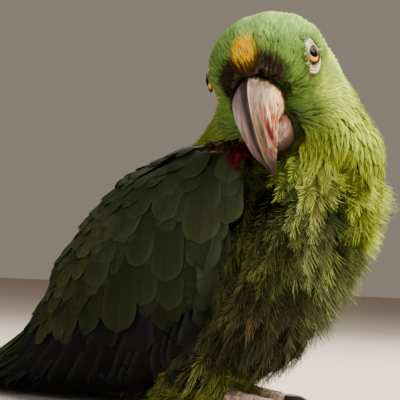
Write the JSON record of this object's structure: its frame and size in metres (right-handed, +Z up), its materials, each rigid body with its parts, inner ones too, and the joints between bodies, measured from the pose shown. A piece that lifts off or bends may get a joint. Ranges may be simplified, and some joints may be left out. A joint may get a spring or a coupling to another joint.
{
  "type": "yellow-crowned amazon parrot, still model",
  "caption": "Life-size still amazon parrot, standing low and fluffed with its head turned over the right shoulder and its tail laid on the floor.",
  "frame": {"origin": "middle of the bounding box at floor level, under the bird", "axes": "+X the way the body faces, +Y the bird's left, +Z up"},
  "size_m": [0.2526, 0.0936, 0.1442],
  "materials": {
    "plumage_green": "soft matt bright green feathers",
    "plumage_olive": "loose olive and yellow-green feathers",
    "plumage_dark": "dark green feathers with a low sheen",
    "horn": "worn horn with fine flaking and dark edges",
    "cere": "dusky skin with short bristles",
    "bare_skin": "pale wrinkled skin",
    "eye": "wet amber eye with a black pupil",
    "scaly_skin": "pale grey-pink scaly skin",
    "claw": "dark smooth claw"
  },
  "bodies": {
    "root": {"head": "plumage_green", "neck": "plumage_green", "trunk": "plumage_olive", "thigh_right": "plumage_olive", "thigh_left": "plumage_olive", "mantle": "plumage_dark", "tail": "plumage_dark", "wing_right_coverts": "plumage_dark", "wing_right_secondaries": "plumage_dark", "wing_right_primaries": "plumage_dark", "wing_left_coverts": "plumage_dark", "wing_left_secondaries": "plumage_dark", "wing_left_primaries": "plumage_dark", "bill_upper": "horn", "bill_lower": "horn", "cere": "cere", "eye_ring_right": "bare_skin", "eye_ring_left": "bare_skin", "eye_right": "eye", "eye_left": "eye", "tarsus_right": "scaly_skin", "foot_right": "scaly_skin", "tarsus_left": "scaly_skin", "foot_left": "scaly_skin", "toe_right_1": "scaly_skin", "toe_right_2": "scaly_skin", "toe_right_3": "scaly_skin", "toe_right_4": "scaly_skin", "toe_left_1": "scaly_skin", "toe_left_2": "scaly_skin", "toe_left_3": "scaly_skin", "toe_left_4": "scaly_skin", "claw_right_1": "claw", "claw_right_2": "claw", "claw_right_3": "claw", "claw_right_4": "claw", "claw_left_1": "claw", "claw_left_2": "claw", "claw_left_3": "claw", "claw_left_4": "claw"}
  },
  "joints": []
}
